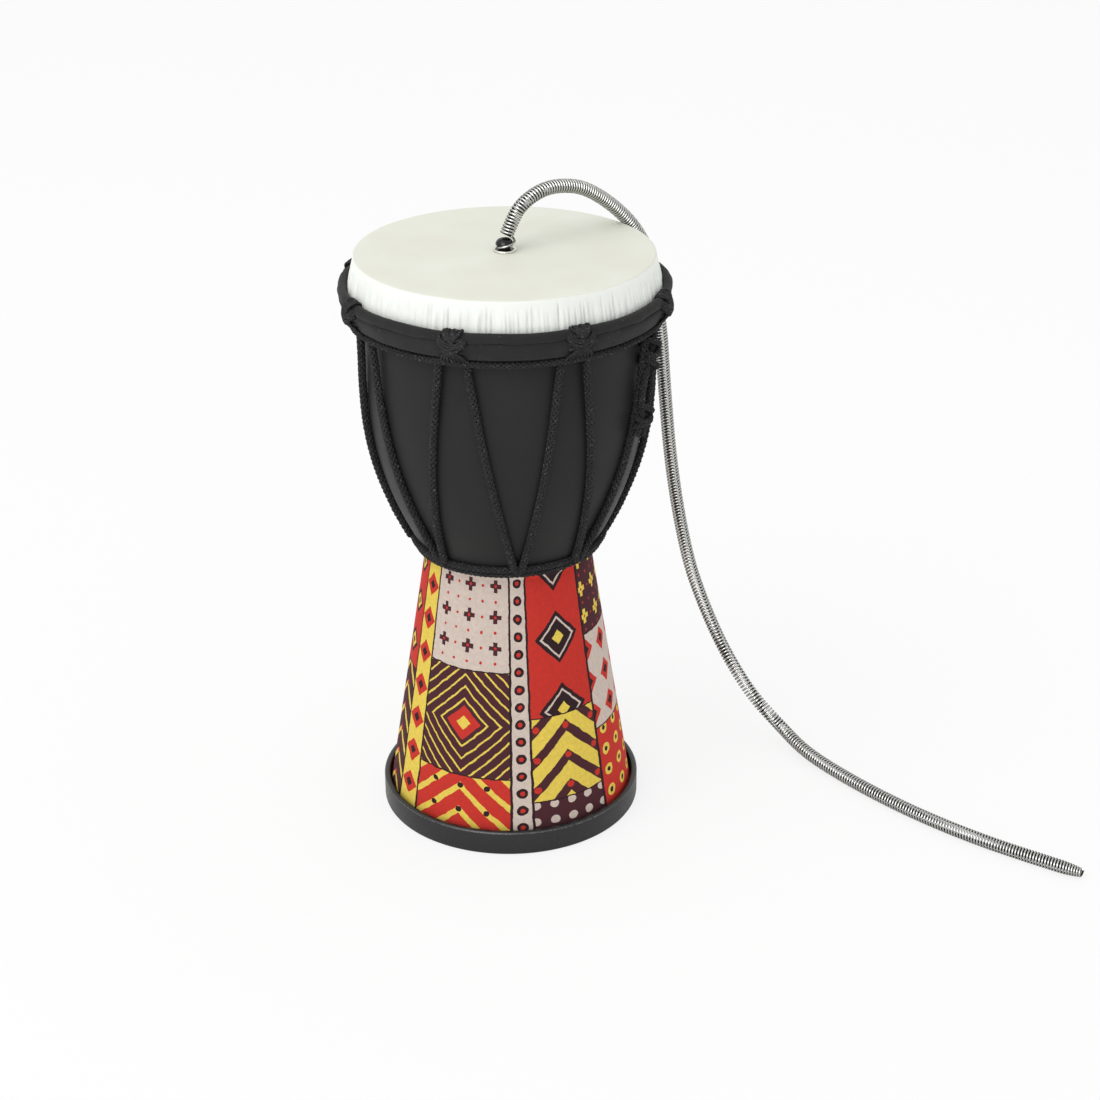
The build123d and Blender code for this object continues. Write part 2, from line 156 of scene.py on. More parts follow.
# %% Route of the spring
SPRING_AZIMUTH = math.radians(36)
SPRING_WIDTH = 4.8 * MM
FLOOR_LEVEL = 2.45
ARCH_ROUTE = ((0.9, 210.0), (3.7, 215.6), (7.6, 219.5), (13.3, 222.0), (18.8, 222.9), (25.0, 222.3),
              (31.3, 220.7), (37.0, 217.7), (42.8, 213.7), (48.4, 209.0), (53.7, 203.7), (58.2, 197.3),
              (60.5, 193.0))
HANG_ROUTE = ((54.4, 37.2, 164.9), (55.7, 38.8, 146.0), (59.4, 42.2, 107.7), (65.8, 45.8, 72.4),
              (72.1, 45.8, 52.7), (81.2, 44.4, 31.5), (91.8, 38.9, 15.0), (101.6, 31.4, 6.5),
              (109.0, 18.5, 3.2))
FLOOR_ROUTE = ((118.4, 5.0), (130.5, -10.8), (145.4, -27.3), (162.5, -42.7), (179.4, -55.1),
               (194.9, -65.5))
spring_out = np.array([math.cos(SPRING_AZIMUTH), math.sin(SPRING_AZIMUTH), 0])
spring_side = np.array([-math.sin(SPRING_AZIMUTH), math.cos(SPRING_AZIMUTH), 0])
spring_route = [spring_out * out + np.array([0, 0, height]) for out, height in ARCH_ROUTE]
spring_route += [np.array(spot) for spot in HANG_ROUTE]
spring_route += [np.array([*spot, FLOOR_LEVEL]) for spot in FLOOR_ROUTE]
spring_line = spline_points(np.array(spring_route) * MM)
spring_length = line_length(spring_line)
print("spring line", round(spring_length, 4), "m long")

# %% [markdown]
# ## The spring's wire
# The wire winds round that line in open turns, closer where the spring carries little and wider where it
# hangs by its own weight, so the pitch follows a short table. The last turns close up and narrow a little,
# as at the cut end of a real spring. A screw modifier would only make a straight coil, so the wire's points
# are worked out round the line.

# %% Wire of the spring
SPRING_WIRE = 0.74 * MM
CURL_RADIUS = (SPRING_WIDTH - SPRING_WIRE) / 2
CURL_PITCH = 1.1 * MM
CURL_POINTS = 16
PITCH_ALONG = ((0, 1.04), (60, 1.05), (135, 1.13), (165, 1.21), (200, 1.27), (225, 1.32), (265, 1.26),
               (325, 1.22), (355, 1.14), (385, 1.1), (425, 1.08))
END_TURNS = 7.0
END_TIGHTENING = 0.15
END_NARROWING = 0.4
spring_spots, distance = even_steps(spring_line, CURL_PITCH / CURL_POINTS)
sides, overs = cross_frames(spring_spots, spring_side)
pitches = np.interp(distance / MM, *zip(*PITCH_ALONG)) * MM
turns = np.concatenate([[0], np.cumsum(np.diff(distance) / pitches[1:])])
closing = np.clip(1 - (spring_length - distance) / (END_TURNS * CURL_PITCH), 0, 1)
swing = 2 * np.pi * (turns + closing ** 2 * END_TURNS * END_TIGHTENING)
wire_offset = CURL_RADIUS * (1 - END_NARROWING * closing ** 1.5)
wire_ways = sides * np.sin(swing)[:, None] - overs * np.cos(swing)[:, None]
wire_points = spring_spots + wire_ways * wire_offset[:, None]
turn_count = round(float(swing[-1] / 2 / np.pi))
print("spring wire", round(line_length(wire_points), 2), "m in", turn_count, "turns")


# %% [markdown]
# ## Strands
# Strands of wire, rope and thread are all curves with a round bevel. The curves of one piece are put into
# one object and made a mesh, because a mesh can carry a finish that follows its strands.

# %% Strands
def rest_selection():
    """Leaves edit mode and deselects everything."""
    if bpy.context.object is not None and bpy.context.object.mode != "OBJECT":
        bpy.ops.object.mode_set(mode="OBJECT")
    bpy.ops.object.select_all(action="DESELECT")


def strands(name, lines, rounding=1):
    """One mesh of round strands from bevelled curves. Each line is (points, radius, closed)."""
    curve = bpy.data.curves.new(name, "CURVE")
    curve.dimensions = "3D"
    curve.fill_mode = "FULL"
    curve.bevel_depth = 1.0
    curve.bevel_resolution = rounding
    curve.use_fill_caps = True
    for points, radius, closed in lines:
        spots = np.asarray(points)[:-1] if closed else np.asarray(points)
        spline = curve.splines.new("POLY")
        spline.points.add(len(spots) - 1)
        spline.points.foreach_set("co", np.column_stack([spots, np.ones(len(spots))]).ravel())
        spline.points.foreach_set("radius", np.full(len(spots), radius))
        spline.use_cyclic_u = closed
    piece = linked(name, curve)
    rest_selection()
    piece.select_set(True)
    bpy.context.view_layer.objects.active = piece
    bpy.ops.object.convert(target="MESH")
    bpy.ops.object.shade_smooth()
    return bpy.context.object


# %% Spring
spring_coil = strands("spring_coil", [(wire_points, SPRING_WIRE / 2, False)])
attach(spring_coil, "spring")
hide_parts("thunder_spring")
print("spring faces", len(spring_coil.data.polygons))

# %% [markdown]
# The wire's side that faces the middle of the coil is darkened with painted shade, for the shade inside a
# close coil, and its outer side stays bright. A number at each point tells the two apart: one on the side
# that faces the middle of the coil, minus one on the outside.

# %% Inner side of the wire
# Painted shade: this number later darkens the wire where it faces into the coil.
middle_finder = KDTree(len(spring_spots))
for index, spot in enumerate(spring_spots):
    middle_finder.insert(spot, index)
middle_finder.balance()
inner = np.zeros(len(spring_coil.data.vertices))
for vertex in spring_coil.data.vertices:
    _, index, away = middle_finder.find(vertex.co)
    inner[vertex.index] = (wire_offset[index] - away) / (SPRING_WIRE / 2)
spring_coil.data.attributes.new("inner", "FLOAT", "POINT").data.foreach_set("value", inner)
print("inner side from", round(float(inner.min()), 2), "to", round(float(inner.max()), 2))

# %% [markdown]
# ## Turned pieces
# Shell, foot ring, head, stud and rolls are round, so each starts as a circle whose edge is extruded from
# height to height and resized at each. Spinning an outline gives the same form, but the extruded circle
# keeps even columns of faces all round, which the pleats of the head need.

# %% Turning a piece
def arc(centre, radius, start, end, count):
    """Points (out, up) on an arc, with angles in degrees from straight out."""
    angles = [math.radians(start + (end - start) * k / count) for k in range(count + 1)]
    return [(centre[0] + radius * math.cos(turn), centre[1] + radius * math.sin(turn)) for turn in angles]


def turned(name, outline, columns, closed=True, sharp=40):
    """Raises a piece from an outline of (radius, height) in millimetres."""
    rest_selection()
    radius, height = outline[0]
    bpy.ops.mesh.primitive_circle_add(vertices=columns, radius=radius * MM, location=(0, 0, height * MM))
    bpy.ops.object.transform_apply(location=True, rotation=True, scale=True)
    piece = bpy.context.object
    piece.name = name
    piece.data.name = name
    bpy.ops.object.mode_set(mode="EDIT")
    bpy.ops.mesh.select_all(action="SELECT")
    for next_radius, next_height in list(outline[1:]) + (list(outline[:1]) if closed else []):
        rise = (0, 0, (next_height - height) * MM)
        bpy.ops.mesh.extrude_edges_move(TRANSFORM_OT_translate={"value": rise})
        grow = next_radius / radius
        bpy.ops.transform.resize(value=(grow, grow, 1), center_override=(0, 0, 0))
        radius, height = next_radius, next_height
    bpy.ops.mesh.select_all(action="SELECT")
    bpy.ops.mesh.remove_doubles(threshold=0.000005)
    bpy.ops.mesh.normals_make_consistent(inside=False)
    bpy.ops.object.mode_set(mode="OBJECT")
    bpy.ops.object.shade_smooth_by_angle(angle=math.radians(sharp))
    print(name, "faces", len(piece.data.polygons))
    return piece


def rides_for(piece, body, slot, *nodes):
    """Sets a piece on its body and hides the solids that it stands for. The finish slot is not used."""
    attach(piece, body)
    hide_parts(*nodes)
    return piece


# %% [markdown]
# ## Shell
# The shell is a goblet turned in one piece: a bowl with a full belly, a narrow waist and a flared pedestal,
# hollow right through. The bowl is a single long arc in section, and the pedestal is a plain cone.

# %% Shell
BELLY = 165.0
BOWL_RADIUS = 48.0
BOWL_CURVE = 123.0
WAIST = 98.0
BASE_RADIUS = 43.1
SHELL_FOOT = 3.0
RIM = 203.8
RIM_ROUND = 1.0
CUP_RADIUS = 42.0
BORE_RADIUS = 26.4


def bowl_radius(height):
    """Radius of the bowl's outside in millimetres."""
    drop = max(BELLY - height, 0)
    return BOWL_RADIUS - BOWL_CURVE + math.sqrt(BOWL_CURVE ** 2 - drop ** 2)


WAIST_RADIUS = bowl_radius(WAIST)


def cone_radius(height):
    """Radius of the pedestal's outside in millimetres."""
    return BASE_RADIUS + (WAIST_RADIUS - BASE_RADIUS) * (height - SHELL_FOOT) / (WAIST - SHELL_FOOT)


shell_outline = [(BORE_RADIUS, SHELL_FOOT), (BASE_RADIUS - 0.3, SHELL_FOOT), (BASE_RADIUS, SHELL_FOOT + 0.3)]
shell_outline += [(cone_radius(height), height) for height in (30, 60, 90)]
shell_outline += [(bowl_radius(height), height) for height in np.linspace(WAIST, BELLY, 30)]
shell_outline += [(BOWL_RADIUS, 185.0)]
shell_outline += arc((BOWL_RADIUS - RIM_ROUND, RIM - RIM_ROUND), RIM_ROUND, 0, 90, 4)
shell_outline += arc((CUP_RADIUS + RIM_ROUND, RIM - RIM_ROUND), RIM_ROUND, 90, 180, 4)
shell_outline += [(CUP_RADIUS, 170.0)] + arc((CUP_RADIUS - 3.0, 143.0), 3.0, 0, -28, 4)
shell_outline += [(BORE_RADIUS, 110.0), (BORE_RADIUS, 60.0)]
shell = rides_for(turned("shell", shell_outline, 240), "drum", "shell_black", "drum_shell")

# %% [markdown]
# ## Foot ring
# A moulded ring takes the lower edge of the shell and keeps the print off the table. Its edges are rounded,
# and the rounded upper edge is what catches the light in the photograph.

# %% Foot ring
foot_outline = [(35.1, 0.4), (35.5, 0)] + arc((45.0, 0.9), 0.9, -90, 0, 4)
foot_outline += arc((45.0, 8.1), 0.9, 5, 90, 6) + [(44.4, 9.0), (43.95, 8.75), (43.75, 7.0), (43.75, 3.0)]
foot_outline += [(43.3, 2.95), (35.1, 2.95)]
foot = rides_for(turned("foot", foot_outline, 240, sharp=50), "drum", "foot_black", "foot_ring")

# %% [markdown]
# ## Printed sleeve
# A printed cloth is glued round the pedestal and ends under the waist rope. It is a thin cone with an inner
# and an outer wall, so its cut edges have a thickness.

# %% Sleeve
SLEEVE_LOW = 3.2
SLEEVE_HIGH = 101.4
CLOTH = 0.5
GLUE = 0.08


def stem_radius(height):
    """Radius of the shell under the sleeve in millimetres."""
    return bowl_radius(height) if height > WAIST else cone_radius(height)


inside_levels = (SLEEVE_HIGH, 99.5, WAIST, 50, SLEEVE_LOW)
outside_levels = (SLEEVE_LOW, 12, 24, 36, 48, 60, 72, 84, 93, WAIST, 99.5, SLEEVE_HIGH)
sleeve_outline = [(stem_radius(height) + GLUE, height) for height in inside_levels]
sleeve_outline += [(stem_radius(height) + GLUE + CLOTH, height) for height in outside_levels]
sleeve = rides_for(turned("sleeve", sleeve_outline, 240), "drum", "sleeve_print", "print_sleeve")

# %% [markdown]
# ## Head
# The head is a synthetic skin pressed over a hoop: a flat cream face, a crisp edge and a white skirt that
# widens over the hoop and goes down inside the cloth band.

# %% Head
HEAD = 204.8
FILM = 0.9
SKIRT_FOOT = 188.5
HEAD_COLUMNS = 900
outer_skirt = arc((49.2, HEAD - 0.75), 0.75, 90, 16, 6)
outer_skirt += [(50.1, 203.2), (50.3, 202.2), (50.55, 201.0), (50.85, 199.7), (51.15, 198.4), (51.45, 197.2),
                (51.75, 195.8), (51.9, 194.0), (51.9, 191.0), (51.9, SKIRT_FOOT)]
inner_skirt = [(51.0, SKIRT_FOOT), (51.0, 194.0), (50.8, 196.0), (49.6, 201.0)]
inner_skirt += arc((48.3, HEAD - 1.7), 0.8, 20, 90, 3)
head_outline = [(1.6, HEAD), (10, HEAD), (24, HEAD), (36, HEAD), (44, HEAD)] + outer_skirt
head_outline += inner_skirt + [(30, HEAD - FILM), (1.6, HEAD - FILM)]
head = rides_for(turned("head", head_outline, HEAD_COLUMNS, sharp=60), "drum", "head_cream", "drumhead")

# %% [markdown]
# Pulling the skirt down over the hoop gathers it into fine upright pleats. They are narrow notches of uneven
# width, depth and reach at uneven places, so each column of the turned skirt is moved in by its notch, more
# towards the hem, and low waves let the skirt swell between them.

# %% Pleats of the skirt
PLEAT_STEP = (0.8, 3.2)
PLEAT_WIDTH = (0.22, 0.55)
PLEAT_DEPTH = (0.25, 1.05)
PLEAT_REACH = (0.2, 1.0)
PLEAT_TOP = 200.0
PLEAT_CLIMB = 3.6
PLEAT_FADE = 3.5
SWELLS = ((0.10, 47, 1.3), (0.07, 83, 0.4), (0.05, 31, 0))
SWELL_TOP = 202.5
SWELL_FADE = 4
SKIRT_INSIDE = 48.5
SKIRT_TOP = 204.0


def limited(value):
    """The value kept between zero and one."""
    return min(max(value, 0), 1)


pleat_seed = random.Random(5)
columns = np.arange(HEAD_COLUMNS) * 2 * np.pi / HEAD_COLUMNS
depth = np.zeros(HEAD_COLUMNS)
reach = np.zeros(HEAD_COLUMNS)
place = 0.0
while place < 2 * math.pi:
    place += math.radians(pleat_seed.uniform(*PLEAT_STEP))
    width = math.radians(pleat_seed.uniform(*PLEAT_WIDTH))
    notch = np.exp(-(np.angle(np.exp(1j * (columns - place))) / width) ** 2)
    depth += notch * pleat_seed.uniform(*PLEAT_DEPTH)
    reach = np.maximum(reach, notch * pleat_seed.uniform(*PLEAT_REACH))
swell = sum(size * np.sin(columns * count + phase) for size, count, phase in SWELLS)
for vertex in head.data.vertices:
    out = math.hypot(vertex.co.x, vertex.co.y) / MM
    height = vertex.co.z / MM
    if out > SKIRT_INSIDE and height < SKIRT_TOP:
        part_turn = math.atan2(vertex.co.y, vertex.co.x) / (2 * math.pi)
        column = int(round(part_turn * HEAD_COLUMNS)) % HEAD_COLUMNS
        pleat = depth[column] * limited((PLEAT_TOP + PLEAT_CLIMB * reach[column] - height) / PLEAT_FADE)
        moved = out - pleat + swell[column] * limited((SWELL_TOP - height) / SWELL_FADE)
        vertex.co.x *= moved / out
        vertex.co.y *= moved / out
head.data.update()
print("pleats up to", round(float(depth.max()), 2), "mm deep")

# %% [markdown]
# ## Crown ring and cloth band
# A ring rolled in black cloth holds the head down, and a band of the same cloth below it covers the hem.
# Cloth is never perfectly round, so the outer points of both are moved a little by smooth waves that have no
# common rhythm.

# %% Crown ring
ROLL_RADIUS = 53.75
ROLL_HEIGHT = 193.55
ROLL_OUT = 1.6
ROLL_UP = 1.85
ROLL_WAVES = ((0.10, 17, 0.6), (0.07, 29, 2), (0.05, 53, 0))
ROLL_RISE = (0.12, 11, 1)


def ruffle(piece, beyond, waves):
    """Moves the points past a radius in and out by waves of (size in millimetres, count, phase)."""
    for vertex in piece.data.vertices:
        azimuth = math.atan2(vertex.co.y, vertex.co.x)
        out = math.hypot(vertex.co.x, vertex.co.y)
        moved = sum(size * math.sin(azimuth * count + phase) for size, count, phase in waves)
        if out > beyond * MM:
            vertex.co.x *= 1 + moved * MM / out
            vertex.co.y *= 1 + moved * MM / out
    piece.data.update()


roll_outline = [(ROLL_RADIUS + ROLL_OUT * math.cos(turn), ROLL_HEIGHT + ROLL_UP * math.sin(turn))
                for turn in np.linspace(0, 2 * math.pi, 24, endpoint=False)]
crown = rides_for(turned("crown", roll_outline, 360, sharp=180), "drum", "crown_cloth", "crown_ring")
size, count, phase = ROLL_RISE
for vertex in crown.data.vertices:
    azimuth = math.atan2(vertex.co.y, vertex.co.x)
    vertex.co.z += size * math.sin(azimuth * count + phase) * MM
ruffle(crown, ROLL_RADIUS, ROLL_WAVES)

# %% Cloth band
BAND_WAVES = ((0.08, 13, 0.3), (0.06, 31, 1))
band_outline = [(52.0, 192.0), (52.0, 187.1)] + arc((52.75, 187.0), 0.75, 180, 360, 6)
band_outline += [(54.2, 188.5), (54.95, 190.5), (55.1, 192.2)]
band = rides_for(turned("band", band_outline, 360, sharp=180), "drum", "crown_cloth", "cloth_band")
ruffle(band, 52.4, BAND_WAVES)

# %% [markdown]
# ## Braided rope
# The rope is a round braid: some strands wind one way, as many wind the other way, and each passes over one
# and under the next. Each strand is a helix round the rope's line that swells out where it passes over and
# sinks where it passes under. A plain core fills the middle.

# %% Braid
BRAID_STRANDS = 4
BRAID_STEPS = 14


def braid(points, thickness, first_side, lay=2.7, ring=False):
    """Strand lines of a braided cord along some points, in metres."""
    pitch = lay * thickness
    if ring:
        pitch = line_length(points) / max(round(line_length(points) / pitch), 1)
    spots, distance = even_steps(points, pitch / BRAID_STEPS)
    one, other = cross_frames(spots, first_side, ring)
    core = thickness * 0.27
    strand = thickness * 0.155
    middle = thickness * 0.295
    heave = thickness * 0.06
    lines = [(spots, core, ring)]
    turn = 2 * np.pi * distance / pitch
    for way in (1, -1):
        for index in range(BRAID_STRANDS):
            phase = 2 * np.pi * (index + (0 if way > 0 else 0.5)) / BRAID_STRANDS
            angle = way * turn + phase
            out = middle + way * heave * np.sin(BRAID_STRANDS * turn)
            offset = (one * np.cos(angle)[:, None] + other * np.sin(angle)[:, None]) * out[:, None]
            lines.append((spots + offset, strand, ring))
    return lines


def around(out, azimuth, height):
    """A point in metres from radius and height in millimetres and azimuth in degrees."""
    angle = math.radians(azimuth)
    return np.array([out * math.cos(angle), out * math.sin(angle), height]) * MM


# %% [markdown]
# ## Hem cord
# A thin braided cord runs round the bowl under the band. Each hitch of the lacing pulls it out and up a
# little, so its radius and height rise in a soft hump near every hitch.

# %% Hem cord
THIN_CORD = 2.6 * MM
FRONT_FOOT = -87.1
LACE_STEP = 45.0
HEM_RADIUS = 51.2
HEM_HEIGHT = 184.0
HEM_STATIONS = 96
HUMP_WIDTH = 9.0
HUMP_OUT = 1.3
HUMP_UP = 0.7
hem_stations = []
for index in range(HEM_STATIONS):
    azimuth = index * 360 / HEM_STATIONS
    from_hitch = (azimuth - FRONT_FOOT - LACE_STEP / 2) % LACE_STEP
    from_hitch = min(from_hitch, LACE_STEP - from_hitch)
    lift = math.exp(-(from_hitch / HUMP_WIDTH) ** 2)
    hem_stations.append(around(HEM_RADIUS + HUMP_OUT * lift, azimuth, HEM_HEIGHT + HUMP_UP * lift))
hem_line = spline_points(hem_stations, ring=True, fineness=6)
hem_braid = braid(hem_line, THIN_CORD, (0, 0, 1), ring=True)
hem = rides_for(strands("hem", hem_braid), "drum", "rope_black", "hem_cord")
print("hem cord faces", len(hem.data.polygons))

# %% [markdown]
# ## Lacing
# The lacing runs from each hitch down the bowl to the waist and up again to the next hitch, in eight
# lengths. The feet of the Vs were pulled tight by hand and sit at uneven places, so each length is braided
# along a line of its own. A pulled rope takes the shortest way over the bowl, which the shares of the turn
# at each height come close to.

# %% Lacing
ROPE = 3.0 * MM
LEG_SPREAD = 4.6
LEG_STANDS = ((176.0, 1.9), (165.0, 1.7), (148.25, 1.6), (131.5, 1.6), (114.75, 1.6), (109.0, 1.65),
              (106.4, 1.8))
LEG_TOP = (50.6, 187.4)
LEG_FOOT_HALF = 1.5
FOOT_BEND = ((1.0, 104.9), (0.4, 103.6))
FOOT_STAND = 2.0
FOOT_SHIFTS = (2.5, -5.0, -1.5, 1.0, 0.0, -1.0, 1.5, 1.5)


def leg_stations(side, shift):
    """Stations of one leg from under the band to the waist, with the V's foot near azimuth 0."""
    levels = [LEG_TOP] + [(bowl_radius(height) + stand, height) for height, stand in LEG_STANDS]
    shares = [0.0]
    for (out, height), (next_out, next_height) in zip(levels, levels[1:]):
        shares.append(shares[-1] + (height - next_height) / ((out + next_out) / 2) ** 2)
    start = side * (LACE_STEP / 2 - LEG_SPREAD)
    end = shift + side * math.degrees(LEG_FOOT_HALF / levels[-1][0])
    stations = [around(out, start + (end - start) * share / shares[-1], height)
                for (out, height), share in zip(levels, shares)]
    for across, height in FOOT_BEND:
        out = bowl_radius(height) + FOOT_STAND
        stations.append(around(out, shift + side * math.degrees(across / out), height))
    return stations


laces = []
for index, shift in enumerate(FOOT_SHIFTS):
    lace_line = spline_points(leg_stations(1, shift) + leg_stations(-1, shift)[::-1])
    lace = strands(f"lacing_rope_{index + 1}", braid(lace_line, ROPE, (0, 1, 0)))
    lace.data.transform(Matrix.Rotation(math.radians(FRONT_FOOT + index * LACE_STEP), 4, "Z"))
    laces.append(rides_for(lace, "drum", "rope_black", f"lacing_{index + 1}"))
print("one lacing", round(line_length(lace_line), 3), "m, faces", len(lace.data.polygons))

# %% [markdown]
# ## Waist rope
# A thin rope is wound twice round the neck of the bowl, over the sleeve's upper edge, and holds the feet of
# the Vs. It climbs steadily.

# %% Waist rope
WAIST_LOW = 101.9
WAIST_PITCH = 2.3
WAIST_PASS = 0.56
WAIST_STAND = 1.25
WAIST_START = FRONT_FOOT + 157.5
WAIST_TURNS = 2
WAIST_STEPS = 30
waist_stations = []
for index in range(WAIST_TURNS * WAIST_STEPS + 1):
    wound = index / WAIST_STEPS
    height = WAIST_LOW + WAIST_PITCH * (wound - WAIST_PASS)
    waist_stations.append(around(bowl_radius(height) + WAIST_STAND, WAIST_START + 360 * wound, height))
waist_line = spline_points(waist_stations)
waist_braid = braid(waist_line, THIN_CORD, (0, 0, 1))
waist = rides_for(strands("waist", waist_braid), "drum", "rope_black", "waist_rope")
print("waist rope", round(line_length(waist_line), 3), "m")

# %% [markdown]
# ## Hitches
# At the crown ring the lacing is hitched: strands fan over the ring, are gathered by a few turns in the
# middle, and spread again towards the hem. One hitch is laid strand by strand at azimuth zero, over three
# thick strands that fill it, and is then copied eight times.

# %% Strands of one hitch
TOP_FAN = (-3.0, -2.1, -1.3, -0.4, 0.5, 1.3, 2.2, 3.1)
WRAPS = ((0.0, 4.1, 56.6), (0.7, 4.7, 57.0), (1.5, 4.9, 57.2), (2.3, 4.5, 57.2), (3.1, 3.7, 57.0),
         (3.8, 2.7, 56.7))
LOW_FAN = (-4.2, -3.0, -1.9, -0.6, 0.6, 1.8, 3.1, 4.3)
FILLERS = ((54.7, 188.9), (55.5, 191.0), (55.6, 193.2))
FAN_THREAD = 0.46
WRAP_THREAD = 0.48
FILLER_THREAD = 1.1
hitch_lines = []


def hitch_strand(radius, *stations):
    """Lays one strand through points of (radius, distance across, height)."""
    points = [around(out, math.degrees(across / out), height) for out, across, height in stations]
    hitch_lines.append((spline_points(points, fineness=8), radius * MM, False))


for across in TOP_FAN:
    lift = 0.3 * math.sin(across * 4.7)
    hitch_strand(FAN_THREAD, (52.4, across * 0.8, 194.4), (52.5, across * 0.9, 195.6),
                 (53.7, across, 196.0 + lift), (55.2, across * 0.95, 195.8 + lift),
                 (56.2, across * 0.7, 195.0), (56.7, across * 0.35, 193.6), (56.3, across * 0.15, 192.2))
for drop, half, out in WRAPS:
    high = 194.3 - drop * 0.75
    low = 192.0 - drop * 0.85
    tilt = 0.35 * math.sin(drop * 3.1 + 0.5)
    hitch_strand(WRAP_THREAD, (54.0, -half * 0.85, high + 0.3), (55.3, -half, high + tilt),
                 (56.4, -half * 0.8, (high + low) / 2), (out, -half * 0.3, low + tilt),
                 (out, half * 0.3, low - tilt), (56.4, half * 0.8, (high + low) / 2),
                 (55.3, half, high - tilt), (54.0, half * 0.85, high + 0.3))
for across in LOW_FAN:
    hitch_strand(FAN_THREAD, (56.0, across * 0.3, 189.9), (56.2, across * 0.45, 188.8),
                 (55.3, across * 0.75, 187.6), (54.2, across * 0.95, 186.4), (53.0, across * 1.05, 185.2))
for out, height in FILLERS:
    hitch_strand(FILLER_THREAD, (out - 1.8, -4.2, height), (out - 0.4, -2.6, height), (out, 0, height),
                 (out - 0.4, 2.6, height), (out - 1.8, 4.2, height))
print("strands in a hitch", len(hitch_lines))

# %% Eight hitches
HITCH_SHIFTS = (0, 0, 2.0, 0, 0, 0, 0, 2.0)


def turned_copy(piece, name, azimuth):
    """A copy with its own mesh, turned round the drum's axis by an azimuth in degrees."""
    copy = linked(name, piece.data.copy())
    copy.data.transform(Matrix.Rotation(math.radians(azimuth), 4, "Z"))
    return copy


hitch = strands("hitch", hitch_lines)
hitches = []
for index, shift in enumerate(HITCH_SHIFTS):
    azimuth = FRONT_FOOT + LACE_STEP * (index + 0.5) + shift
    knot = turned_copy(hitch, f"hitch_{index + 1}", azimuth)
    hitches.append(rides_for(knot, "drum", "rope_black", f"crown_hitch_{index + 1}"))
bpy.data.objects.remove(hitch)
print("hitch faces", len(hitches[0].data.polygons))

# %% [markdown]
# ## Rope tail
# On the right the end of the lacing is tied off: two lengths of rope lie beside a leg and are held by two
# knots. The lengths are placed by height and by degrees beside the leg, and each knot is a few braided loops
# that lean to and fro, which looks like a tight tangle.

# %% Rope tail
TAIL_INDEX = 1
TAIL_STAND = 3.5
TAIL_ROPE = 2.6 * MM
TAIL_STRANDS = (((186.0, 4.6), (181.0, 4.4), (175.5, 3.6), (169.0, 5.8), (162.0, 5.6), (153.5, 3.2),
                 (148.5, 4.6)),
                ((183.0, 6.4), (175.5, 3.0), (170.0, -0.6), (162.0, -1.8), (155.5, 1.6), (150.0, -1.0)))
TAIL_KNOTS = ((175.5, 3.4, (-4.2, -1.9, 0.4, 2.7)), (155.5, 2.2, (-3.0, -0.4, 2.2)))
LOOP_ROPE = 2.3 * MM
LOOP_HALVES = (2.3, 3.3)
LOOP_LEANS = (-1.3, 1.6)
LOOP_STEPS = 12
tail_guide = spline_points(leg_stations(1, FOOT_SHIFTS[TAIL_INDEX]), fineness=24)
guide_azimuth = np.degrees(np.arctan2(tail_guide[:, 1], tail_guide[:, 0]))
guide_height = tail_guide[:, 2] / MM


def tail_spot(height, beside):
    """A point beside the leg on the right, in metres."""
    leg_azimuth = float(np.interp(-height, -guide_height, guide_azimuth))
    azimuth = FRONT_FOOT + LACE_STEP * TAIL_INDEX + leg_azimuth + beside
    return around(bowl_radius(height) + TAIL_STAND, azimuth, height)


tail_lines = []
for stations in TAIL_STRANDS:
    tail_lines += braid(spline_points([tail_spot(*station) for station in stations]), TAIL_ROPE, (0, 0, 1))
for height, beside, shifts in TAIL_KNOTS:
    middle = tail_spot(height, beside)
    along = tail_spot(height - 1, beside) - tail_spot(height + 1, beside)
    along = along / np.linalg.norm(along)
    outward = np.array([middle[0], middle[1], 0])
    outward = outward / np.linalg.norm(outward)
    aside = np.cross(along, outward)
    for index, shift in enumerate(shifts):
        loop = []
        for step in range(LOOP_STEPS):
            turn = 2 * math.pi * step / LOOP_STEPS
            slid = along * (shift + LOOP_LEANS[index % 2] * math.sin(turn + index))
            swung = outward * LOOP_HALVES[0] * math.cos(turn) + aside * LOOP_HALVES[1] * math.sin(turn)
            loop.append(middle + slid * MM + swung * MM)
        tail_lines += braid(spline_points(loop, ring=True, fineness=6), LOOP_ROPE, along, ring=True)
tail = rides_for(strands("tail", tail_lines), "drum", "rope_black", "rope_tail")
print("tail faces", len(tail.data.polygons))

# %% [markdown]
# ## Stud and eyelet
# A black dome-headed stud goes through a bright eyelet in the middle of the head. The stud's neck stays
# narrow, so that the wire can lie round it.

# %% Stud and eyelet
stud_outline = [(1.5, 198.0), (1.5, 205.0), (2.9, 205.0), (2.9, 205.3), (1.9, 205.4), (1.9, 206.8)]
stud_outline += arc((2.6, 207.2), 0.4, -90, 10, 4)
stud_outline += [(2.86, 207.75), (2.55, 208.3), (2.05, 208.75), (1.4, 209.05), (0.7, 209.18), (0.05, 209.2)]
stud_mesh = turned("stud", stud_outline, 48, closed=False, sharp=45)
stud = rides_for(stud_mesh, "drum", "stud_black", "anchor_stud")
eyelet_outline = [(3.0, 204.92), (3.9, 204.92)] + arc((3.5, 205.2), 0.42, -20, 200, 10)
eyelet = rides_for(turned("eyelet", eyelet_outline, 64, sharp=50), "drum", "steel", "head_eyelet")

# %% [markdown]
# ## Wire eye
# The spring's wire starts round the neck of the stud, climbs across the front of the dome and runs into the
# first turn. The eye only swivels while the spring also lifts, so the wire is blended from one to the other.

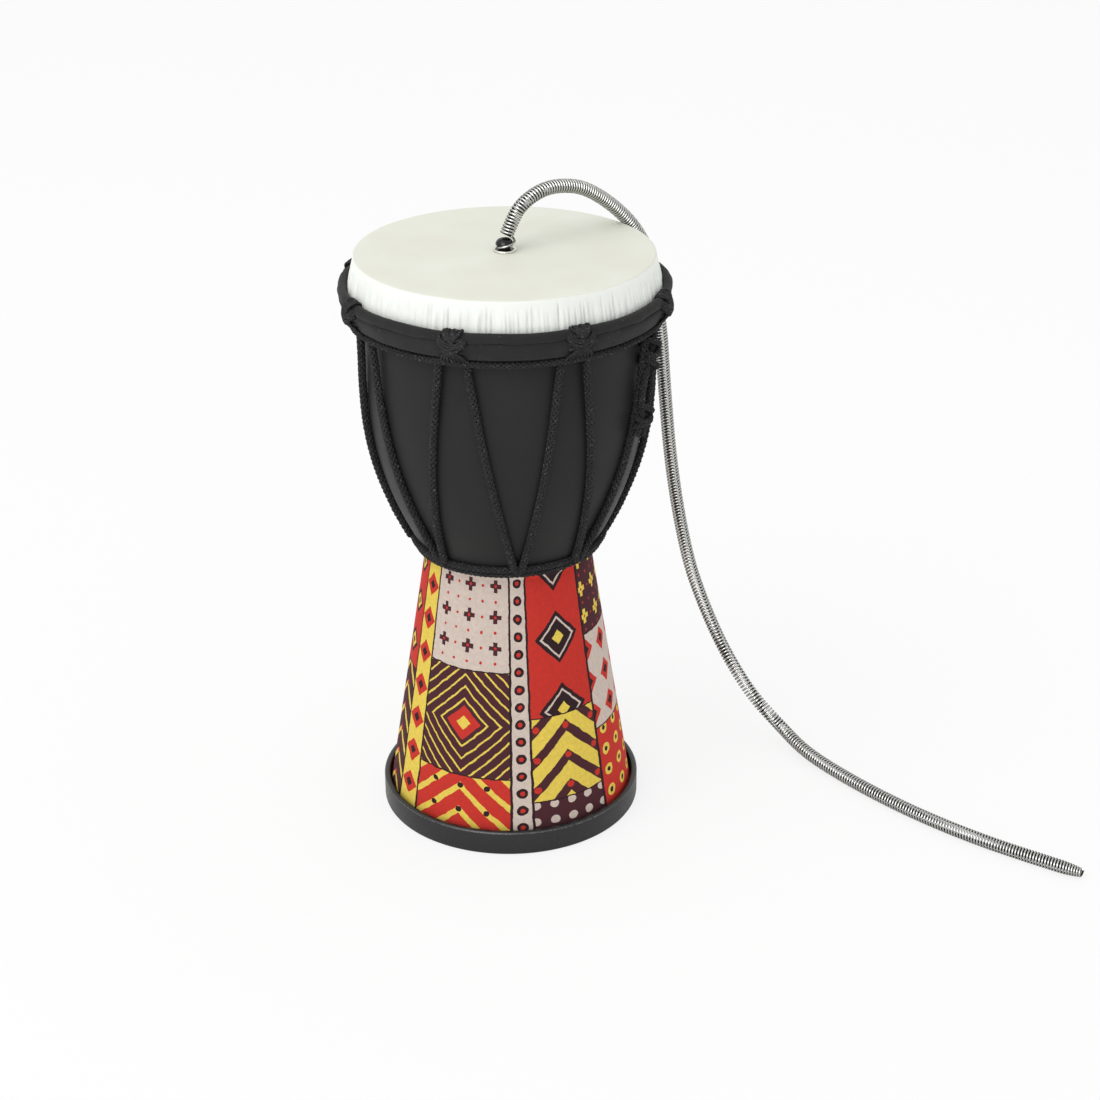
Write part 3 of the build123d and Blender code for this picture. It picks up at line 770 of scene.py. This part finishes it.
# %% Wire eye
EYE_RADIUS = 2.25
EYE_LEVEL = 206.25
EYE_TURN = range(-420, -209, 21)
EYE_CLIMB = ((-190, 2.6, 206.3), (-165, 3.2, 206.55), (-140, 3.55, 206.9), (-115, 3.65, 207.3),
             (-90, 3.65, 207.7), (-65, 3.55, 208.05), (-40, 3.4, 208.35), (-18, 3.1, 208.65))
EYE_LEAD = 0.7
eye_azimuth = round(math.degrees(SPRING_AZIMUTH))
eye_stations = [around(EYE_RADIUS, eye_azimuth + turn, EYE_LEVEL) for turn in EYE_TURN]
eye_stations += [around(out, eye_azimuth + turn, height) for turn, out, height in EYE_CLIMB]
first_heading = wire_points[3] - wire_points[0]
first_heading = first_heading / np.linalg.norm(first_heading)
eye_stations.append(wire_points[0] - first_heading * EYE_LEAD * MM)
eye_stations.append(wire_points[0])
eye_line = spline_points(eye_stations)
eye = strands("eye_wire", [(eye_line, SPRING_WIRE / 2, False)], rounding=2)
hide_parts("spring_eye")
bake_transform(eye)
print("eye wire", round(line_length(eye_line), 4), "m")

# %% [markdown]
# ## Finishes
# Each finish is a small node tree on one shader. Colours are written as they look on the screen and turned
# into the linear values that the shader mixes. All patterns read the object's own coordinates.

# %% Node helpers
def tone(red, green, blue):
    """A colour from screen values of 0 to 255."""
    values = []
    for value in (red, green, blue):
        share = value / 255
        values.append(share / 12.92 if share <= 0.04045 else ((share + 0.055) / 1.055) ** 2.4)
    return (*values, 1.0)


class Finish:
    """A material with one shader and helpers that add and join nodes."""

    def __init__(self, name, roughness, metallic=0.0, specular=0.5):
        self.material = bpy.data.materials.new(name)
        self.material.use_nodes = True
        self.tree = self.material.node_tree
        self.shader = self.tree.nodes["Principled BSDF"]
        self.shader.inputs["Metallic"].default_value = metallic
        self.shader.inputs["Roughness"].default_value = roughness
        self.shader.inputs["Specular IOR Level"].default_value = specular
        self.spot = self.add("ShaderNodeTexCoord").outputs["Object"]

    def add(self, kind, **settings):
        node = self.tree.nodes.new(kind)
        for name, value in settings.items():
            setattr(node, name, value)
        return node

    def join(self, value, socket):
        if isinstance(value, (int, float, tuple)):
            socket.default_value = value
        else:
            self.tree.links.new(value, socket)

    def calc(self, operation, *values):
        node = self.add("ShaderNodeMath", operation=operation)
        for value, socket in zip(values, node.inputs):
            self.join(value, socket)
        return node.outputs[0]

    def axes(self):
        node = self.add("ShaderNodeSeparateXYZ")
        self.join(self.spot, node.inputs[0])
        return node.outputs

    def noise(self, scale, detail=3.0, rough=0.55):
        node = self.add("ShaderNodeTexNoise")
        self.join(self.spot, node.inputs["Vector"])
        node.inputs["Scale"].default_value = scale
        node.inputs["Detail"].default_value = detail
        node.inputs["Roughness"].default_value = rough
        return node.outputs["Fac"]

    def between(self, value, low, high, first=0.0, last=1.0):
        node = self.add("ShaderNodeMapRange")
        self.join(value, node.inputs[0])
        for number, socket in zip((low, high, first, last), node.inputs[1:5]):
            socket.default_value = number
        return node.outputs[0]

    def blend(self, share, first, second):
        node = self.add("ShaderNodeMix", data_type="RGBA")
        self.join(share, node.inputs["Factor"])
        self.join(first, node.inputs[6])
        self.join(second, node.inputs[7])
        return node.outputs[2]

    def colour(self, value):
        self.join(value, self.shader.inputs["Base Color"])

    def gloss(self, value, smooth, rough):
        """Roughness that follows a noise."""
        self.join(self.between(value, 0.3, 0.7, smooth, rough), self.shader.inputs["Roughness"])

    def clouded(self, scale, detail, low, high, smooth, rough):
        """A tone and a roughness that drift together."""
        cloud = self.noise(scale, detail)
        self.colour(self.blend(cloud, low, high))
        self.gloss(cloud, smooth, rough)

    def bump(self, height, depth, strength=1.0):
        node = self.add("ShaderNodeBump")
        node.inputs["Strength"].default_value = strength
        node.inputs["Distance"].default_value = depth
        self.join(height, node.inputs["Height"])
        self.join(node.outputs["Normal"], self.shader.inputs["Normal"])

    def wear(self, *pieces):
        for piece in pieces:
            piece.data.materials.clear()
            piece.data.materials.append(self.material)
        print(self.material.name, "on", len(pieces), "pieces")


# %% [markdown]
# The bowl is sprayed a satin black. It hardly shines, and a soft cloud in its tone and roughness and a very
# fine grain keep it from looking like plain plastic.

# %% Satin black shell
satin = Finish("satin_black_shell", 0.5, specular=0.14)
satin.clouded(60, 4, tone(37, 37, 37), tone(42, 42, 42), 0.42, 0.56)
satin.bump(satin.noise(2600, 2), 0.00006, 0.5)
satin.wear(shell)

# %% [markdown]
# The foot ring is moulded with a leather-like grain. A thin band at one height on its rounded upper edge is
# painted lighter wherever the grain stands up, as a painted highlight.

# %% Grained black foot
HIGHLIGHT_HEIGHT = 0.00845
moulded = Finish("grained_black_foot", 0.45, specular=0.4)
grain = moulded.noise(1500, 3, 0.6)
cloud = moulded.noise(90, 3)
from_edge = moulded.calc("ABSOLUTE", moulded.calc("SUBTRACT", moulded.axes()[2], HIGHLIGHT_HEIGHT))
edge = moulded.between(from_edge, 0.00005, 0.00028, 1.0, 0.0)
# Painted highlight: a thin band round the upper edge is mixed towards light grey where the grain stands up.
painted_highlight = moulded.calc("MULTIPLY", edge, moulded.between(grain, 0.38, 0.6))
black = moulded.blend(cloud, tone(27, 27, 28), tone(36, 36, 37))
moulded.colour(moulded.blend(painted_highlight, black, tone(98, 98, 100)))
moulded.gloss(grain, 0.26, 0.45)
moulded.bump(grain, 0.00015, 0.6)
moulded.wear(foot)

# %% [markdown]
# The face and the skirt are the same skin, and the face is painted a darker cream than the white skirt as
# painted shade. The change of colour lies at the crisp edge, so it is mixed by height.

# %% Cream head
skin = Finish("cream_head_skin", 0.62)
face = skin.between(skin.axes()[2], 0.20425, 0.20468)
speck = skin.noise(900, 4, 0.6)
cloud = skin.noise(40, 3)
cream = skin.blend(skin.between(cloud, 0.35, 0.65), tone(226, 227, 213), tone(231, 232, 220))
white = skin.blend(speck, tone(244, 248, 241), tone(250, 253, 248))
# Painted shade: the face is mixed to a darker cream than the skirt of the same skin.
skin.colour(skin.blend(face, white, cream))
skin.bump(speck, 0.00005, 0.5)
skin.wear(head)

# %% [markdown]
# Crown ring and band are black cotton, matt and a little grey, and lint on it shows as light specks.

# %% Black cloth
cloth = Finish("black_cloth", 0.95, specular=0.12)
cloud = cloth.noise(160, 4)
lint = cloth.between(cloth.noise(1100, 2), 0.68, 0.76)
dark = cloth.blend(cloud, tone(35, 35, 35), tone(49, 49, 49))
cloth.colour(cloth.blend(lint, dark, tone(84, 84, 82)))
cloth.bump(cloth.noise(2200, 2), 0.0002, 0.7)
cloth.shader.inputs["Sheen Weight"].default_value = 0.08
cloth.wear(crown, band)

# %% [markdown]
# The rope is a black synthetic cord. Its fibres are darker than the cloth, and here and there one glints.

# %% Black rope
cordage = Finish("black_braided_rope", 0.7, specular=0.25)
cloud = cordage.noise(500, 3)
glint = cordage.between(cordage.noise(1500, 2), 0.6, 0.72)
dark = cordage.blend(cloud, tone(20, 20, 21), tone(36, 36, 37))
cordage.colour(cordage.blend(glint, dark, tone(90, 90, 90)))
cordage.bump(cordage.noise(2600, 3), 0.0002, 0.7)
cordage.wear(hem, waist, tail, *laces, *hitches)

# %% [markdown]
# The spring is bright drawn steel. The number on each point of the wire darkens its inner side with painted
# shade, which gives the dark gaps between the turns, and a dark specular tint keeps the edges of the wire
# dark.

# %% Bright steel
bright = Finish("bright_spring_steel", 0.22, 1.0)
bright.shader.inputs["Specular Tint"].default_value = (0.02, 0.02, 0.02, 1)
cloud = bright.noise(300, 3)
painted_coil_shade = bright.add("ShaderNodeAttribute", attribute_name="inner").outputs["Fac"]
steel = bright.blend(cloud, tone(176, 176, 173), tone(202, 202, 198))
# Painted shade: the side of the wire that faces into the coil is mixed towards dark grey.
bright.colour(bright.blend(bright.between(painted_coil_shade, -0.15, 0.45), steel, tone(48, 48, 47)))
bright.gloss(cloud, 0.12, 0.22)
bright.wear(spring_coil, eye)

# %% [markdown]
# Eyelet, stud and the plated pieces inside differ only in colour and polish. On each the two drift together
# in soft clouds, as on the bowl.

# %% Eyelet, stud and inside
nickel = Finish("nickel_eyelet", 0.2, 1.0)
nickel.clouded(500, 3, tone(198, 196, 186), tone(226, 224, 214), 0.14, 0.26)
nickel.wear(eyelet)
polished = Finish("gloss_black_stud", 0.18, specular=0.25)
polished.clouded(700, 3, tone(20, 20, 21), tone(32, 32, 33), 0.12, 0.26)
polished.wear(stud)
plated = Finish("plated_steel_inside", 0.35, 1.0)
plated.clouded(400, 4, tone(150, 150, 148), tone(186, 186, 182), 0.28, 0.45)
plated.wear(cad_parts["flesh_hoop"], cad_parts["inner_washer"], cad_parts["anchor_nut"])

# %% [markdown]
# ## Printed cloth
# The cloth carries a bold patchwork print in red, yellow, maroon and beige. The print is drawn in two
# coordinates, degrees round the axis and millimetres of height, and repeats each half turn. A little noise
# on both makes the edges look printed by hand.

# %% Coordinates of the print
PRINT_TURN = 180.0
TURN_DRIFT = 1.6
RISE_DRIFT = 1.2
MM_PER_DEGREE = 0.63
RED = tone(205, 50, 38)
YELLOW = tone(238, 210, 88)
MAROON = tone(72, 33, 40)
BEIGE = tone(216, 200, 188)
DARK = tone(38, 20, 24)
print_cloth = Finish("printed_cloth", 0.8, specular=0.2)
calc = print_cloth.calc
east, north, upright = print_cloth.axes()
turn = calc("MULTIPLY", calc("ARCTAN2", north, east), 180 / math.pi)
turn = calc("MODULO", calc("ADD", turn, 360.0), PRINT_TURN)
turn = calc("ADD", turn, calc("MULTIPLY", print_cloth.noise(260, 3), TURN_DRIFT))
rise = calc("MULTIPLY", upright, 1000.0)
rise = calc("ADD", rise, calc("MULTIPLY", print_cloth.noise(300, 3), RISE_DRIFT))
print("print repeats every", PRINT_TURN, "degrees")


# %% [markdown]
# Each motif comes from folding the two coordinates with the ping-pong operation, which repeats a distance to
# and fro. Sums of two folds make diamonds, squares of two make dots, and the smaller of two makes a cross.

# %% Motifs of the print
def fold(value, period):
    """The distance from the nearest multiple of the period."""
    return calc("PINGPONG", value, period / 2)


def near(value, period, width):
    """One where the value is close to a multiple of the period."""
    return calc("LESS_THAN", fold(value, period), width)


def diamonds(across, up, period, stripe, share):
    return near(calc("ADD", calc("ABSOLUTE", across), fold(up, period)), stripe, stripe * share)


def lozenges(across, up, period, size):
    return calc("LESS_THAN", calc("ADD", fold(across, period), fold(up, period)), size)


def chevrons(across, up, period, share):
    return near(calc("ADD", up, calc("ABSOLUTE", across)), period, period * share)


def dots(across, up, period, size):
    one = calc("POWER", fold(across, period), 2.0)
    other = calc("POWER", fold(up, period), 2.0)
    return calc("LESS_THAN", calc("ADD", one, other), size ** 2)


def crosses(across, up, period, arm):
    one = fold(across, period)
    other = fold(up, period)
    bar = calc("LESS_THAN", calc("MINIMUM", one, other), arm / 3)
    return calc("MULTIPLY", bar, calc("LESS_THAN", calc("MAXIMUM", one, other), arm))


# %% [markdown]
# Each patch is a box: its middle and half width in degrees, its level and half height in millimetres, its
# ground colour, and the motifs that are printed over it with their sizes and inks. The dark cloth shows as a
# thin seam between the patches.

# %% Patches of the print
SEAM = 0.4
patches = (
    (11, 11, 80, 23.5, RED, ((lozenges, (15, 5.0), DARK), (lozenges, (15, 3.2), YELLOW),
                             (lozenges, (15, 1.5), MAROON))),
    (11, 11, 30, 26, MAROON, ((chevrons, (9, 0.12), YELLOW), (dots, (9, 1.1), RED))),
    (30, 7.5, 53, 51, YELLOW, ((lozenges, (12.5, 4.4), RED), (lozenges, (12.5, 1.8), DARK))),
    (64, 26, 85, 19.5, BEIGE, ((crosses, (11, 2.4), MAROON), (dots, (5.5, 0.55), RED))),
    (64, 26, 46, 19, MAROON, ((diamonds, (80, 4.4, 0.1), YELLOW), (lozenges, (80, 6.4), RED),
                              (lozenges, (80, 2.6), YELLOW))),
    (64, 26, 14, 12.5, RED, ((chevrons, (9, 0.15), YELLOW), (dots, (9, 1.0), DARK))),
    (95.5, 5, 53, 51, BEIGE, ((dots, (6.3, 1.8), DARK), (dots, (6.3, 0.8), RED))),
    (121, 20, 76, 27.5, RED, ((lozenges, (26, 9.5), DARK), (lozenges, (26, 7.6), BEIGE),
                              (lozenges, (26, 6.6), DARK), (lozenges, (26, 2.6), YELLOW))),
    (121, 20, 33, 15, YELLOW, ((chevrons, (11, 0.2), MAROON), (dots, (11, 1.2), RED))),
    (121, 20, 10.5, 7, MAROON, ((dots, (6, 1.5), BEIGE),)),
    (161, 19, 89, 16, MAROON, ((crosses, (10, 2.6), YELLOW), (dots, (5, 0.5), RED))),
    (161, 19, 55, 17.5, BEIGE, ((lozenges, (12, 4.4), RED), (lozenges, (12, 2.0), DARK))),
    (161, 19, 20, 17, RED, ((dots, (8, 2.1), YELLOW), (dots, (8, 0.9), DARK))),
)
cloth_colour = DARK
for middle, half, level, half_height, ground, layers in patches:
    middle_turn = middle + TURN_DRIFT / 2
    middle_rise = level + RISE_DRIFT / 2
    across = calc("MULTIPLY", calc("SUBTRACT", turn, middle_turn), MM_PER_DEGREE)
    up = calc("SUBTRACT", rise, middle_rise)
    patch = ground
    for motif, sizes, ink in layers:
        patch = print_cloth.blend(motif(across, up, *sizes), patch, ink)
    beside = calc("COMPARE", turn, middle_turn, half - SEAM)
    inside = calc("MULTIPLY", beside, calc("COMPARE", rise, middle_rise, half_height))
    cloth_colour = print_cloth.blend(inside, cloth_colour, patch)
fade = print_cloth.between(print_cloth.noise(700, 4, 0.7), 0.3, 0.75, 0.0, 0.22)
print_cloth.colour(print_cloth.blend(fade, cloth_colour, MAROON))
print_cloth.bump(print_cloth.noise(2400, 2), 0.00008, 0.5)
print_cloth.wear(sleeve)
print("patches", len(patches))

# %% [markdown]
# ## Floor
# The drum stands on a white floor. Most of what the camera sees of it is a plain white glow, and the rest is
# lit as paper, so that a faint shadow stays under the drum.

# %% Floor
FLOOR_GLOW = 0.78
rest_selection()
bpy.ops.mesh.primitive_plane_add(size=12, location=(0, 0, 0))
floor = bpy.context.object
floor.name = "floor"
paper = Finish("white_floor", 0.9)
paper.colour((0.96, 0.96, 0.96, 1))
glow = paper.add("ShaderNodeEmission")
both = paper.add("ShaderNodeMixShader")
ray = paper.add("ShaderNodeLightPath")
paper.join(paper.calc("MULTIPLY", ray.outputs["Is Camera Ray"], FLOOR_GLOW), both.inputs[0])
paper.join(paper.shader.outputs[0], both.inputs[1])
paper.join(glow.outputs[0], both.inputs[2])
paper.join(both.outputs[0], paper.tree.nodes["Material Output"].inputs["Surface"])
paper.wear(floor)

# %% [markdown]
# ## Light
# The room is white to the camera and in reflections, and a little dimmer as a light. A wide soft lamp from
# the upper left gives the head and the rope their slight shading. A second lamp, which only reflections
# see, puts the bright line on the wire of the spring.

# %% Room
ROOM_LIGHT = 0.80
world = bpy.data.worlds.new("bright_room")
bpy.context.scene.world = world
world.use_nodes = True
sky = world.node_tree
background = sky.nodes["Background"]
background.inputs["Color"].default_value = (1, 1, 1, 1)
path = sky.nodes.new("ShaderNodeLightPath")
seen = path.outputs["Is Camera Ray"]
for kind in ("Is Glossy Ray", "Is Transmission Ray"):
    either = sky.nodes.new("ShaderNodeMath")
    either.operation = "MAXIMUM"
    sky.links.new(seen, either.inputs[0])
    sky.links.new(path.outputs[kind], either.inputs[1])
    seen = either.outputs[0]
strength = sky.nodes.new("ShaderNodeMapRange")
sky.links.new(seen, strength.inputs[0])
strength.inputs[3].default_value = ROOM_LIGHT
strength.inputs[4].default_value = 1.0
sky.links.new(strength.outputs[0], background.inputs["Strength"])
print("room light", ROOM_LIGHT)


# %% Lamps
def lamp(name, shape, size, energy, place, target):
    """An area lamp that faces a target, in metres and watts."""
    data = bpy.data.lights.new(name, "AREA")
    data.shape = shape
    data.size = size
    data.energy = energy
    light = linked(name, data)
    light.location = place
    light.rotation_euler = (Vector(target) - light.location).to_track_quat("-Z", "Y").to_euler()
    return light


key = lamp("key", "DISK", 1.3, 7, (-0.7, -0.6, 1.3), (0, 0, 0.12))
strip = lamp("strip", "SQUARE", 0.8, 11, (-0.3, -0.95, 0.7), (0.05, 0, 0.15))
strip.visible_diffuse = False
bpy.context.scene.view_settings.view_transform = "Standard"
print("lamps", key.name, strip.name)
